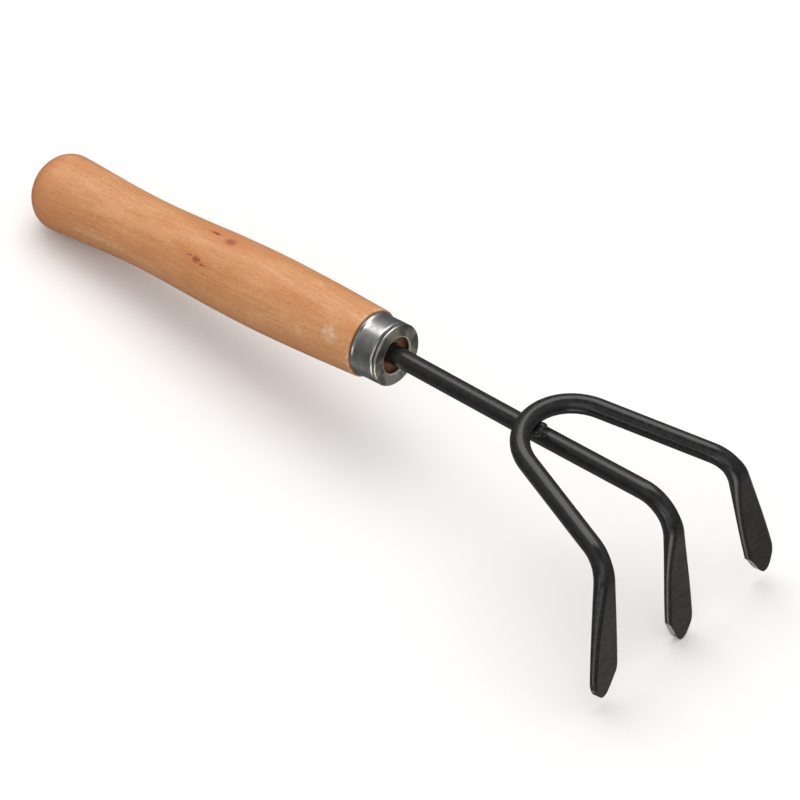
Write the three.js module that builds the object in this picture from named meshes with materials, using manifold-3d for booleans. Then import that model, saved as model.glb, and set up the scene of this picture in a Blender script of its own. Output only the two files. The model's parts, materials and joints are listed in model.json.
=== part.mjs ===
// Hand cultivator: a turned wooden handle with a pressed steel ferrule, a centre rod driven into
// the handle, and a second rod bent into a fork and welded on top of the centre rod.
//
// Everything is drawn in the tool's own frame first: X runs along the handle towards the tines,
// Y runs across the fork, Z points away from the tine tips, and the origin is the centre of the
// ferrule's front face. The whole tool is then tilted, so that the butt of the handle and the
// longest tine touch the ground plane z = 0, and its length is centred over the origin.
// Millimetres and degrees, +Z up.

import * as THREE from 'three';
import { mergeVertices } from 'three/addons/utils/BufferGeometryUtils.js';
import Module from 'manifold-3d';

const wasm = await Module();
wasm.setup();

// ---------------------------------------------------------------- driving dimensions

const GAP = 0.3; // clearance between pieces that touch on the real tool

// Rods
const ROD_RADIUS = 3.25;
const SHANK_DROOP = 3.0; // centre rod slopes down from the handle's axis by this angle
const WELD_KINK = 0.6; // and rises by this much at the weld
const SHANK_LENGTH = 58.2; // ferrule face to the weld
const CENTRE_ARM_LENGTH = 56.9; // weld to the sharp corner of the centre tine's bend
const CENTRE_TINE_LENGTH = 53.2; // that corner to the tine's nose
const CENTRE_BEND_RADIUS = 12.4;
const TANG_LENGTH = 90; // centre rod inside the handle

// Fork
const FORK_HEIGHT = 2 * ROD_RADIUS + 0.35; // fork's centreline above the centre rod's
const FORK_PITCH = 12.5; // the fork's plane slopes down from the handle's axis
const FORK_BOW_RADIUS = 18.2;
const FORK_SPLAY = 17.7; // each arm opens from the tool's middle plane
const FORK_ARM_LENGTH = 46.2; // end of the bow to the sharp corner of the outer tine's bend
const OUTER_TINE_LENGTH = 47.4;
const OUTER_BEND_RADIUS = 10.3;
const OUTER_TINE_SPREAD = 9.5; // outer tines lean outwards
const OUTER_TINE_LEAN = 3.9; // and forwards

// Tines pressed flat: the section is an ellipse cut off by two flats
const BLADE_HALF_WIDTH = 6.2;
const BLADE_HALF_THICKNESS = 1.4; // between the flats
const BLADE_BULGE = 2.0; // half-height of the whole ellipse
const BLADE_RUN_IN = 6; // the pressing starts this far back round the bend
const BLADE_THINNING_LENGTH = 24; // and has thinned the rod fully over this length
const BLADE_WIDENING_LENGTH = 42; // while the width goes on growing over this one
const BLADE_WIDENING_POWER = 1.8;

// Sheared gothic points, drawn across the blade and up from the lowest place. The near flank runs
// from the shoulder on the -Y side through two curve handles to the nose, and the far flank runs
// from the nose through two handles to the shoulder on the +Y side. The -Y tine was cut askew.
const EVEN_POINT = {
  near: [[-6.4, 9.4], [-4.2, 9.3], [-3.5, 0]],
  nose: [-0.4, 0],
  far: [[1.9, 0], [3.0, 2.0], [6.5, 7.6]],
};
const SKEWED_POINT = {
  near: [[-6.6, 6.4], [-5.0, 5.5], [-4.6, 0]],
  nose: [-1.9, 0],
  far: [[0.3, 0], [1.2, 2.4], [6.6, 10.6]],
};
const DIE_CLEARANCE = 4; // the die reaches past the blade by this much

// Ferrule, a cup pressed from sheet
const FERRULE_LENGTH = 10.5;
const FERRULE_RADIUS = 10.7;
const FERRULE_SHEET = 0.8;
const FERRULE_BEAD_RADIUS = 0.75; // rounded front edge
const FERRULE_BEAD_TOP = 10.7; // radius over that edge
const FERRULE_GROOVE_RADIUS = 9.7; // radius in the groove behind it
const FERRULE_GROOVE_BEHIND = 1.6; // the groove's distance behind the face
const FERRULE_SHOULDER_RADIUS = 1.0; // where the skirt turns down into the groove
const FERRULE_HOLE_RADIUS = 6.4;
const FERRULE_HOLE_EDGE = 0.2; // broken edge of the hole
const FERRULE_LIP = 0.35; // the rear edge is rolled out by this much

// Handle: distance behind the ferrule's face, and radius there
const HANDLE_SHOULDER = FERRULE_LENGTH + GAP;
const HANDLE_WAVE = [
  [HANDLE_SHOULDER + 0.6, 11.7],
  [34, 12.65],
  [55, 13.12],
  [75, 12.8],
  [92, 12.12],
  [108, 11.72],
  [122, 12.0],
  [135, 12.68],
  [146.3, 13.25],
];
const HANDLE_EDGE = 0.6; // broken edge of the shoulder
const BUTT_DOME_LENGTH = 10.5;
const TENON_RECESS = 2.4; // the tenon ends this far behind the ferrule's face
const TENON_EDGE = 0.3; // broken edge of the tenon inside the ferrule

// Fineness of the faceting
const HANDLE_SIDES = 40;
const ROD_SIDES = 24;
const HANDLE_RINGS = 18;
const DOME_STEP = 12; // degrees of the butt's dome for each ring
const BEND_STEP = 12; // degrees of bend for each ring
const TINE_STEP = 3.5; // length of tine for each ring
const PAST_THE_NOSE = 1; // a blade is this much too long before its point is sheared
const MERGE_DISTANCE = 1e-4;

// ---------------------------------------------------------------- small tools

const { degToRad } = THREE.MathUtils;
const Y_AXIS = new THREE.Vector3(0, 1, 0);

function solidFrom(geometry) {
  const bare = geometry.clone();
  bare.deleteAttribute('normal');
  bare.deleteAttribute('uv');
  const merged = mergeVertices(bare, MERGE_DISTANCE);
  const mesh = new wasm.Mesh({
    numProp: 3,
    vertProperties: merged.attributes.position.array,
    triVerts: Uint32Array.from(merged.index.array),
  });
  return new wasm.Manifold(mesh);
}

function geometryFrom(solid) {
  const { vertProperties, triVerts } = solid.getMesh();
  const geometry = new THREE.BufferGeometry();
  geometry.setAttribute('position', new THREE.BufferAttribute(new Float32Array(vertProperties), 3));
  geometry.setIndex(new THREE.BufferAttribute(new Uint32Array(triVerts), 1));
  return geometry;
}

// Unit vector in the middle plane, sloping down from the handle's axis.
function slopingDown(angle) {
  return new THREE.Vector3(Math.cos(degToRad(angle)), 0, -Math.sin(degToRad(angle)));
}

function mirrored(vector) {
  return new THREE.Vector3(vector.x, -vector.y, vector.z);
}

// A closed profile of [distance along +X, radius] pairs turned about the X axis.
function turned(profile, sides) {
  const points = profile.map(([along, radius]) => new THREE.Vector2(radius, along));
  const geometry = new THREE.LatheGeometry(points, sides);
  geometry.rotateZ(-Math.PI / 2);
  return geometry;
}

// ---------------------------------------------------------------- bent rods

// A rod is a list of stations down its centreline. Each station has a point and the direction of
// travel, and how far the rod has been thinned and widened there, from 0 (round) to 1 (full blade).
function station(point, along) {
  return { point, along, thinning: 0, widening: 0 };
}

function stationsOfBend(corner, before, after, radius) {
  const turn = before.angleTo(after);
  const setback = radius * Math.tan(turn / 2);
  const start = corner.clone().addScaledVector(before, -setback);
  const axis = before.clone().cross(after).normalize();
  const centre = start.clone().addScaledVector(axis.clone().cross(before), radius);
  const steps = Math.ceil(turn / degToRad(BEND_STEP));
  const stations = [];
  for (let i = 0; i <= steps; i += 1) {
    const swept = (turn * i) / steps;
    const point = start.clone().sub(centre).applyAxisAngle(axis, swept).add(centre);
    stations.push(station(point, before.clone().applyAxisAngle(axis, swept)));
  }
  return stations;
}

// Straight stretch from the end of the bend to just past the nose.
function stationsOfTine(bendEnd, nose) {
  const along = nose.clone().sub(bendEnd);
  const length = along.length() + PAST_THE_NOSE;
  along.normalize();
  const steps = Math.round(length / TINE_STEP);
  const stations = [];
  for (let i = 1; i <= steps; i += 1) {
    const point = bendEnd.clone().addScaledVector(along, (length * i) / steps);
    stations.push(station(point, along.clone()));
  }
  return stations;
}

// Presses the blade: the last stretch of the rod, the tine's straight length and the run-in.
function pressBlade(stations, straight) {
  let left = -PAST_THE_NOSE;
  for (let i = stations.length - 1; i >= 0; i -= 1) {
    if (i + 1 < stations.length) left += stations[i].point.distanceTo(stations[i + 1].point);
    const pressed = Math.max(0, straight + BLADE_RUN_IN - left);
    const thinned = Math.min(1, pressed / BLADE_THINNING_LENGTH);
    const roundShare = Math.max(0, 1 - pressed / BLADE_WIDENING_LENGTH);
    stations[i].thinning = Math.sin((thinned * Math.PI) / 2);
    stations[i].widening = 1 - roundShare ** BLADE_WIDENING_POWER;
  }
}

// A point of the cross-section, an ellipse cut off by the two flats.
function sectionPoint(angle, { thinning, widening }, grow) {
  const { lerp, clamp } = THREE.MathUtils;
  const halfWidth = lerp(ROD_RADIUS, BLADE_HALF_WIDTH, widening) + grow;
  const bulge = lerp(ROD_RADIUS, BLADE_BULGE, thinning) + grow;
  const halfThickness = lerp(ROD_RADIUS, BLADE_HALF_THICKNESS, thinning) + grow;
  return {
    across: Math.cos(angle) * halfWidth,
    through: clamp(Math.sin(angle) * bulge, -halfThickness, halfThickness),
  };
}

// Skin over the stations, made by moving the vertices of a cylinder.
function rodGeometry(stations, grow = 0) {
  const rings = stations.length - 1;
  const geometry = new THREE.CylinderGeometry(1, 1, 1, ROD_SIDES, rings);
  const position = geometry.attributes.position;
  for (let i = 0; i < position.count; i += 1) {
    const ring = Math.round((position.getY(i) + 0.5) * rings);
    const { point, across, through } = stations[ring];
    const x = position.getX(i);
    const z = position.getZ(i);
    const place = point.clone();
    const onSkin = Math.hypot(x, z) > 0.5;
    if (onSkin) {
      const offset = sectionPoint(Math.atan2(z, x), stations[ring], grow);
      place.addScaledVector(across, offset.across).addScaledVector(through, offset.through);
    }
    position.setXYZ(i, place.x, place.y, place.z);
  }
  return geometry;
}

// Carries the blade's directions back from the tip, station by station, without twist.
function addFrames(stations, acrossAtTip) {
  let across = acrossAtTip.clone();
  for (const item of [...stations].reverse()) {
    across = across.addScaledVector(item.along, -across.dot(item.along)).normalize().clone();
    item.across = across.clone();
    item.through = across.clone().cross(item.along);
  }
  return stations;
}

// Die that shears a blade to its gothic point. It is a plate with a notch of that shape, standing
// across the blade.
function pointDie(tip, along, across, { near, nose, far }) {
  const clear = BLADE_HALF_WIDTH + DIE_CLEARANCE;
  const [nearShoulder, ...nearHandles] = near;
  const farShoulder = far.at(-1);
  const outline = new THREE.Shape();
  outline.moveTo(-clear, nearShoulder[1]);
  outline.lineTo(...nearShoulder);
  outline.bezierCurveTo(...nearHandles.flat(), ...nose);
  outline.bezierCurveTo(...far.flat());
  outline.lineTo(clear, farShoulder[1]);
  outline.lineTo(clear, -DIE_CLEARANCE);
  outline.lineTo(-clear, -DIE_CLEARANCE);
  outline.closePath();
  const depth = 4 * BLADE_BULGE;
  const die = new THREE.ExtrudeGeometry(outline, { depth, bevelEnabled: false, curveSegments: 7 });
  die.translate(0, 0, -depth / 2);
  const up = along.clone().negate();
  const basis = new THREE.Matrix4().makeBasis(across, up, across.clone().cross(up));
  die.applyMatrix4(basis.setPosition(tip));
  return solidFrom(die);
}

// ---------------------------------------------------------------- centre rod

const weldPoint = slopingDown(SHANK_DROOP).multiplyScalar(SHANK_LENGTH);
const centreArm = slopingDown(SHANK_DROOP - WELD_KINK);
const centreCorner = weldPoint.clone().addScaledVector(centreArm, CENTRE_ARM_LENGTH);
const centreTip = centreCorner.clone().setZ(centreCorner.z - CENTRE_TINE_LENGTH);

function centreRodStations() {
  const shank = slopingDown(SHANK_DROOP);
  const tine = new THREE.Vector3(0, 0, -1);
  const bend = stationsOfBend(centreCorner, centreArm, tine, CENTRE_BEND_RADIUS);
  const stations = [
    station(shank.clone().multiplyScalar(-TANG_LENGTH), shank.clone()),
    station(weldPoint.clone(), shank.clone()),
    ...bend,
    ...stationsOfTine(bend.at(-1).point, centreTip),
  ];
  pressBlade(stations, bend.at(-1).point.distanceTo(centreTip));
  return addFrames(stations, Y_AXIS);
}

function centreRod() {
  const stations = centreRodStations();
  const { along, across } = stations.at(-1);
  const rod = solidFrom(rodGeometry(stations));
  return geometryFrom(rod.subtract(pointDie(centreTip, along, across, EVEN_POINT)));
}

// ---------------------------------------------------------------- fork

const forkForward = slopingDown(FORK_PITCH);
const forkTop = slopingDown(SHANK_DROOP).cross(Y_AXIS).multiplyScalar(FORK_HEIGHT).add(weldPoint);
const bowCentre = forkTop.clone().addScaledVector(forkForward, FORK_BOW_RADIUS);

function forkArmDirection() {
  const splay = degToRad(FORK_SPLAY);
  return forkForward.clone().multiplyScalar(Math.cos(splay)).addScaledVector(Y_AXIS, Math.sin(splay));
}

function bowStation(angle) {
  const point = bowCentre.clone();
  point.addScaledVector(forkForward, -FORK_BOW_RADIUS * Math.cos(angle));
  point.addScaledVector(Y_AXIS, FORK_BOW_RADIUS * Math.sin(angle));
  const along = forkForward.clone().multiplyScalar(Math.sin(angle));
  return station(point, along.addScaledVector(Y_AXIS, Math.cos(angle)));
}

function outerTineDirection() {
  const spread = Math.sin(degToRad(OUTER_TINE_SPREAD));
  const lean = Math.sin(degToRad(OUTER_TINE_LEAN));
  return new THREE.Vector3(lean, spread, -1).normalize();
}

// The +Y half, from the middle of the bow to the tip.
function halfForkStations() {
  const bowEnd = degToRad(90 - FORK_SPLAY);
  const steps = Math.ceil(bowEnd / degToRad(BEND_STEP));
  const stations = [];
  for (let i = 0; i <= steps; i += 1) {
    stations.push(bowStation((bowEnd * i) / steps));
  }
  const arm = forkArmDirection();
  const tine = outerTineDirection();
  const corner = stations.at(-1).point.clone().addScaledVector(arm, FORK_ARM_LENGTH);
  const bend = stationsOfBend(corner, arm, tine, OUTER_BEND_RADIUS);
  const tip = corner.clone().addScaledVector(tine, OUTER_TINE_LENGTH);
  stations.push(...bend, ...stationsOfTine(bend.at(-1).point, tip));
  pressBlade(stations, bend.at(-1).point.distanceTo(tip));
  addFrames(stations, Y_AXIS);
  return { stations, tip };
}

function mirroredStation(item) {
  return {
    point: mirrored(item.point),
    along: mirrored(item.along).negate(),
    across: mirrored(item.across),
    through: mirrored(item.through),
    thinning: item.thinning,
    widening: item.widening,
  };
}

function forkStations() {
  const { stations } = halfForkStations();
  const otherHalf = stations.slice(1).map(mirroredStation).reverse();
  return [...otherHalf, ...stations];
}

function outerFork() {
  const { stations, tip } = halfForkStations();
  const { along, across } = stations.at(-1);
  const otherAcross = mirrored(across).negate();
  let fork = solidFrom(rodGeometry(forkStations()));
  fork = fork.subtract(pointDie(tip, along, across, EVEN_POINT));
  fork = fork.subtract(pointDie(mirrored(tip), mirrored(along), otherAcross, SKEWED_POINT));
  return geometryFrom(fork);
}

// ---------------------------------------------------------------- weld

// Overlapping lumps in the corner between the bow and the top of the centre rod, placed from the
// weld point along the shank, across the tool and up from the shank.
const WELD_LUMPS = [
  { along: 2.9, across: -2.2, up: 2.6, radius: 1.95 },
  { along: 3.3, across: -0.4, up: 3.2, radius: 2.1 },
  { along: 2.8, across: 0.8, up: 2.8, radius: 1.5 },
  { along: 5.3, across: -1.2, up: 2.0, radius: 1.5 },
];

function weldBead() {
  const shank = slopingDown(SHANK_DROOP);
  const upwards = shank.clone().cross(Y_AXIS);
  let bead = null;
  for (const { along, across, up, radius } of WELD_LUMPS) {
    const lump = new THREE.SphereGeometry(radius, 14, 9);
    const place = weldPoint.clone().addScaledVector(shank, along);
    place.addScaledVector(Y_AXIS, across).addScaledVector(upwards, up);
    lump.translate(place.x, place.y, place.z);
    bead = bead ? bead.add(solidFrom(lump)) : solidFrom(lump);
  }
  bead = bead.subtract(solidFrom(rodGeometry(centreRodStations(), GAP)));
  bead = bead.subtract(solidFrom(rodGeometry(forkStations(), GAP)));
  return geometryFrom(bead);
}

// ---------------------------------------------------------------- ferrule

// Profile points on an arc; angles in degrees from the +X direction.
function arc([x, radius], size, from, to, steps) {
  const points = [];
  for (let i = 0; i <= steps; i += 1) {
    const turn = degToRad(from + ((to - from) * i) / steps);
    points.push([x + size * Math.cos(turn), radius + size * Math.sin(turn)]);
  }
  return points;
}

function ferrule() {
  const back = -FERRULE_LENGTH;
  const inside = FERRULE_RADIUS - FERRULE_SHEET;
  const bead = FERRULE_BEAD_RADIUS;
  const shoulder = FERRULE_SHOULDER_RADIUS;
  const groove = -FERRULE_GROOVE_BEHIND;
  const profile = [
    [back, inside],
    [back, FERRULE_RADIUS],
    [back + FERRULE_LIP, FERRULE_RADIUS + FERRULE_LIP],
    [back + 3 * FERRULE_LIP, FERRULE_RADIUS],
    ...arc([groove - shoulder, FERRULE_RADIUS - shoulder], shoulder, 90, 10, 3),
    [groove, FERRULE_GROOVE_RADIUS],
    ...arc([-bead, FERRULE_BEAD_TOP - bead], bead, 150, 0, 5),
    [0, FERRULE_HOLE_RADIUS + FERRULE_HOLE_EDGE],
    [-FERRULE_HOLE_EDGE, FERRULE_HOLE_RADIUS],
    [-FERRULE_SHEET, FERRULE_HOLE_RADIUS],
    [-FERRULE_SHEET, FERRULE_GROOVE_RADIUS - FERRULE_SHEET],
    [groove - shoulder, FERRULE_GROOVE_RADIUS - FERRULE_SHEET],
    [groove - 2 * shoulder, inside],
    [back, inside],
  ];
  return turned(profile, HANDLE_SIDES);
}

// ---------------------------------------------------------------- handle

function handle() {
  const tenonRadius = FERRULE_GROOVE_RADIUS - FERRULE_SHEET - GAP;
  const wave = new THREE.SplineCurve(HANDLE_WAVE.map((pair) => new THREE.Vector2(...pair)));
  const [widestBehind, widestRadius] = HANDLE_WAVE.at(-1);
  const profile = [
    [-TENON_RECESS, 0],
    [-TENON_RECESS, tenonRadius - TENON_EDGE],
    [-TENON_RECESS - TENON_EDGE, tenonRadius],
    [-HANDLE_SHOULDER, tenonRadius],
    [-HANDLE_SHOULDER, HANDLE_WAVE[0][1] - HANDLE_EDGE],
  ];
  for (const point of wave.getPoints(HANDLE_RINGS)) {
    profile.push([-point.x, point.y]);
  }
  for (let angle = DOME_STEP; angle < 90; angle += DOME_STEP) {
    const turn = degToRad(angle);
    profile.push([
      -widestBehind - BUTT_DOME_LENGTH * Math.sin(turn),
      widestRadius * Math.cos(turn),
    ]);
  }
  profile.push([-widestBehind - BUTT_DOME_LENGTH, 0]);
  const blank = solidFrom(turned(profile.reverse(), HANDLE_SIDES));

  const shank = slopingDown(SHANK_DROOP);
  const bore = [
    station(shank.clone().multiplyScalar(-TANG_LENGTH - 2 * GAP), shank.clone()),
    station(shank.clone().multiplyScalar(FERRULE_SHEET), shank.clone()),
  ];
  addFrames(bore, Y_AXIS);
  return geometryFrom(blank.subtract(solidFrom(rodGeometry(bore, GAP))));
}

// ---------------------------------------------------------------- materials

function steelBlack() {
  return new THREE.MeshStandardMaterial({ color: 0x282624, roughness: 0.4, metalness: 0.2 });
}

function steelPlated() {
  return new THREE.MeshStandardMaterial({ color: 0xa9a9a6, roughness: 0.28, metalness: 1 });
}

function woodLacquered() {
  return new THREE.MeshStandardMaterial({ color: 0xd99c66, roughness: 0.38, metalness: 0 });
}

// ---------------------------------------------------------------- assembly

function piece(name, geometry, material) {
  const mesh = new THREE.Mesh(geometry, material);
  mesh.name = name;
  return mesh;
}

function lowest(object) {
  object.updateWorldMatrix(true, true);
  return new THREE.Box3().setFromObject(object, true).min.z;
}

const woodenHandle = piece('wooden_handle', handle(), woodLacquered());
const centreTineRod = piece('centre_tine_rod', centreRod(), steelBlack());
const tool = new THREE.Group();
tool.add(woodenHandle);
tool.add(piece('ferrule', ferrule(), steelPlated()));
tool.add(centreTineRod);
tool.add(piece('outer_tines_rod', outerFork(), steelBlack()));
tool.add(piece('weld_bead', weldBead(), steelBlack()));

// Tilt until the butt and the longest tine stand on the same ground, halving the range each time.
const MOST_TILT = 25;
const TILT_TRIALS = 30;
let tiltLow = 0;
let tiltHigh = degToRad(MOST_TILT);
for (let i = 0; i < TILT_TRIALS; i += 1) {
  const tilt = (tiltLow + tiltHigh) / 2;
  tool.rotation.y = -tilt;
  if (lowest(woodenHandle) > lowest(centreTineRod)) tiltLow = tilt;
  else tiltHigh = tilt;
}

// Stand it on z = 0 with its length centred over the origin and its middle plane on y = 0.
const bounds = new THREE.Box3().setFromObject(tool, true);
tool.position.set(-bounds.getCenter(new THREE.Vector3()).x, 0, -bounds.min.z);

const cultivator = new THREE.Group();
cultivator.name = 'hand_cultivator';
cultivator.add(tool);

export default cultivator;
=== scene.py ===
"""Hand cultivator: the looks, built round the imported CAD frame.

Every visible piece is built here in the tool's own frame, in millimetres: x runs along the handle
towards the tines, y across the fork, z away from the tine tips, and the origin is the centre of the
ferrule's front face. The CAD record's ferrule_face mount says where that frame stands in the row.
"""
import json
import math

import bmesh
import bpy
import numpy as np
from mathutils import Matrix, Vector


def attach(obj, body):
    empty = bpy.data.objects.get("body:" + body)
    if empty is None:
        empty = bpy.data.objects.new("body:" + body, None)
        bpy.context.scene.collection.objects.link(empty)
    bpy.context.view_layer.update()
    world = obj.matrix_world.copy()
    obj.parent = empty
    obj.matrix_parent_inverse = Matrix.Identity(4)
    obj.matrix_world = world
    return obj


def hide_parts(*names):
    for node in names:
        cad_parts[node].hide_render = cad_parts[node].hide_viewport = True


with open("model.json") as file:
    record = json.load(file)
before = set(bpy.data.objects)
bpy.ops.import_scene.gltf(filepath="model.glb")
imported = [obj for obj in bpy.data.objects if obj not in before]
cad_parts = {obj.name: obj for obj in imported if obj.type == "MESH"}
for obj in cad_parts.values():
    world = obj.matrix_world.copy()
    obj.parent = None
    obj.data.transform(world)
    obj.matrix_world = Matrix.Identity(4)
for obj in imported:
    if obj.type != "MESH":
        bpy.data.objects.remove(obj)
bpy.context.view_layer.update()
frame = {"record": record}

MM = 0.001

# ------------------------------------------------------------------ driving dimensions (mm, degrees)

GAP = 0.3  # clearance between pieces that touch on the real tool

# Centre rod: tang, shank and centre tine in one bar
ROD_RADIUS = 3.25
SHANK_DROOP = 3.0  # slopes down from the handle's axis by this angle
WELD_KINK = 0.6  # and rises by this much at the weld
KINK_REACH = 3.0  # the kink is spread over this much either side
SHANK_LENGTH = 58.2  # ferrule face to the weld
CENTRE_ARM_LENGTH = 56.9  # weld to the sharp corner of the centre tine's bend
CENTRE_TINE_LENGTH = 53.2  # that corner to the tine's nose
CENTRE_BEND_RADIUS = 12.4
TANG_LENGTH = 90.0  # inside the handle

# Fork: both outer tines in one bar, bent to a bow that lies on the centre rod
FORK_HEIGHT = 2 * ROD_RADIUS + 0.35  # its centreline above the centre rod's
FORK_PITCH = 12.5  # its plane slopes down from the handle's axis
FORK_BOW_RADIUS = 18.2
FORK_SPLAY = 17.7  # each arm opens from the tool's middle plane
FORK_ARM_LENGTH = 46.2  # end of the bow to the sharp corner of the outer tine's bend
OUTER_TINE_LENGTH = 47.4
OUTER_BEND_RADIUS = 10.3
OUTER_TINE_SPREAD = 9.5  # outer tines lean outwards
OUTER_TINE_LEAN = 3.9  # and forwards

# Flattened tines: the section is an ellipse cut off by the two flats
BLADE_HALF_WIDTH = 6.2
BLADE_HALF_THICKNESS = 1.4  # between the flats
BLADE_BULGE = 2.0  # half-height of the whole ellipse
BLADE_RUN_IN = 6.0  # the pressing starts this far back round the bend
BLADE_THINNING_LENGTH = 24.0  # and has thinned the rod fully over this length
SKEWED_THINNING_LENGTH = 40.0  # on the -y tine
BLADE_WIDENING_LENGTH = 42.0  # while the width goes on growing over this one
BLADE_WIDENING_POWER = 1.8

# The outlines of the sheared points, as (across, up from the lowest place): the near flank runs from the
# shoulder on the -y side through two curve handles to the nose, and the far flank from there to the +y side
EVEN_POINT = {
    "near": ((-6.4, 9.4), (-4.2, 9.3), (-3.5, 0.0)),
    "nose": (-0.4, 0.0),
    "far": ((1.9, 0.0), (3.0, 2.0), (6.5, 7.6)),
}
SKEWED_POINT = {
    "near": ((-6.6, 6.4), (-5.0, 5.5), (-4.6, 0.0)),
    "nose": (-1.9, 0.0),
    "far": ((0.3, 0.0), (1.2, 2.4), (6.6, 10.6)),
}
DIE_CLEARANCE = 4.0  # the cutting die reaches past the blade by this much
CUT_EDGE = 0.12  # the sheared edges are taken off by this much

# Ferrule, a cup pressed from sheet
FERRULE_LENGTH = 10.5
FERRULE_RADIUS = 10.7
FERRULE_SHEET = 0.8
FERRULE_LIP = 0.35  # the rear edge is rolled out by this much
FERRULE_FLARE = 1.2  # the lip has died out this far in front of the rear edge
FERRULE_SKIRT_END = 0.3  # the straight skirt ends this far behind the shoulder's centre
FERRULE_SHOULDER_RADIUS = 1.15  # where the skirt turns down into the groove
FERRULE_GROOVE_BEHIND = 1.4  # the groove's distance behind the face
FERRULE_GROOVE_HALF_WIDTH = 0.14
FERRULE_GROOVE_FLOOR = 9.3
FERRULE_FLOOR_HALF_WIDTH = 0.08
FERRULE_BEAD_RADIUS = 0.75  # rounded front edge
FERRULE_BEAD_TOP = 10.7  # radius over that edge
FERRULE_DISH = 0.05  # the face dips by this much inside the bead
FERRULE_DISH_EASE = 0.9  # and takes this long to do it
FERRULE_HOLE_RADIUS = 6.4
FERRULE_HOLE_EDGE = 0.35  # rounding of the hole's edge
FERRULE_NECK = 9.7  # radius of the cup behind the bead, where the tenon sits

# Handle: distance behind the ferrule's face and radius, from the shoulder to the widest part of the butt
HANDLE_SHOULDER = FERRULE_LENGTH + GAP
HANDLE_EDGE = 0.6  # broken edge of the shoulder
HANDLE_WAVE = (
    (HANDLE_SHOULDER + HANDLE_EDGE, 11.7), (34, 12.65), (55, 13.12), (75, 12.8), (92, 12.12),
    (108, 11.72), (122, 12.0), (135, 12.68), (146.3, 13.25),
)
BUTT_DOME_LENGTH = 10.5
TENON_RECESS = 2.4  # the tenon ends this far behind the ferrule's face
TENON_RADIUS = FERRULE_NECK - FERRULE_SHEET - GAP
TENON_EDGE = 0.4
BORE_RADIUS = ROD_RADIUS + 0.1
BORE_PAST_TANG = 1.0
BORE_END_TAPER = 0.8  # the blind end narrows over this length
BORE_END_SHARE = 0.8  # to this share of the bore's radius
BORE_MOUTH_DEPTH = 0.4  # broken edge of the bore
BORE_MOUTH_WIDTH = 0.35

# Weld metal in the corner under the bow, as lumps: place along the shank, across and up from the weld
# point, and radius
WELD_LUMPS = (
    (2.9, -2.2, 2.6, 1.95),
    (3.3, -0.4, 3.2, 2.1),
    (2.8, 0.8, 2.8, 1.5),
    (5.3, -1.2, 2.0, 1.5),
)
WELD_GRAIN = 0.22  # the lumps are melted together on a grid this fine
WELD_RIPPLE_SPACING = 1.1
WELD_RIPPLE_HEIGHT = 0.5

MOUNT_RING_RADIUS = 8.2  # the mount's point stands this far above the ferrule's axis

# Fineness of the meshes
ROD_SIDES = 96
LATHE_SIDES = 192
HANDLE_STEPS = 10  # rings between two of the handle's driving points
DOME_RINGS = 29
ARM_STEP = 4.0  # length of straight rod for each ring
TINE_STEP = 0.8  # length of tine for each ring
BEND_STEP = 3.0  # degrees of bend for each ring
POINT_STEPS = 24  # edges along one flank of a point
PAST_THE_NOSE = 1.0  # a blade is this much too long before its point is sheared


# ------------------------------------------------------------------ frames and small tools

ACROSS = np.array([0.0, 1.0, 0.0])
DOWN = np.array([0.0, 0.0, -1.0])
MIRROR = np.array([1.0, -1.0, 1.0])


def unit(vector):
    return vector / np.linalg.norm(vector)


def tool_frame():
    """Origin and the three directions of the tool's frame in the row frame, in metres."""
    mount = next(m for m in frame["record"]["mounts"] if m["name"] == "ferrule_face")
    along = unit(np.array(mount["axis"], float))
    up = np.cross(along, ACROSS)
    origin = np.array(mount["pos_m"]) - up * MOUNT_RING_RADIUS * MM
    return origin, np.array([along, ACROSS, up])


TOOL_ORIGIN, TOOL_AXES = tool_frame()


def to_row(points):
    """Tool millimetres to row metres."""
    return TOOL_ORIGIN + np.asarray(points, float) * MM @ TOOL_AXES


def to_tool(points):
    """Row metres to tool millimetres."""
    return (np.asarray(points, float) - TOOL_ORIGIN) @ TOOL_AXES.T / MM


def sloping_down(angle):
    return np.array([math.cos(math.radians(angle)), 0.0, -math.sin(math.radians(angle))])


def turned_about(vector, axis, angle):
    return np.array(Matrix.Rotation(angle, 3, Vector(axis)) @ Vector(vector))


def add_to_scene(name, data):
    made = bpy.data.objects.new(name, data)
    bpy.context.scene.collection.objects.link(made)
    return made


def store_places(mesh, places):
    """Keeps each vertex's place in the tool's frame, which the materials read."""
    attribute = mesh.attributes.get("tool") or mesh.attributes.new("tool", "FLOAT_VECTOR", "POINT")
    attribute.data.foreach_set("vector", np.asarray(places, np.float32).ravel())


def mesh_object(name, points, faces, flatness=None):
    """A smooth mesh from tool-frame points. flatness is 1 on the flats of a tine and 0 elsewhere."""
    mesh = bpy.data.meshes.new(name)
    mesh.from_pydata(to_row(points).tolist(), [], faces)
    store_places(mesh, points)
    if flatness is not None:
        attribute = mesh.attributes.new("flatness", "FLOAT", "POINT")
        attribute.data.foreach_set("value", np.asarray(flatness, np.float32))
    face_outwards(mesh)
    mesh.polygons.foreach_set("use_smooth", [True] * len(mesh.polygons))
    mesh.update()
    return add_to_scene(name, mesh)


def face_outwards(mesh):
    work = bmesh.new()
    work.from_mesh(mesh)
    bmesh.ops.recalc_face_normals(work, faces=work.faces)
    work.to_mesh(mesh)
    work.free()


def ring_faces(rings, sides, closed=False):
    """Quads between neighbouring rings of vertices."""
    faces = []
    last = rings if closed else rings - 1
    for i in range(last):
        here = i * sides
        there = ((i + 1) % rings) * sides
        for j in range(sides):
            k = (j + 1) % sides
            faces.append((here + j, here + k, there + k, there + j))
    return faces


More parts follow.
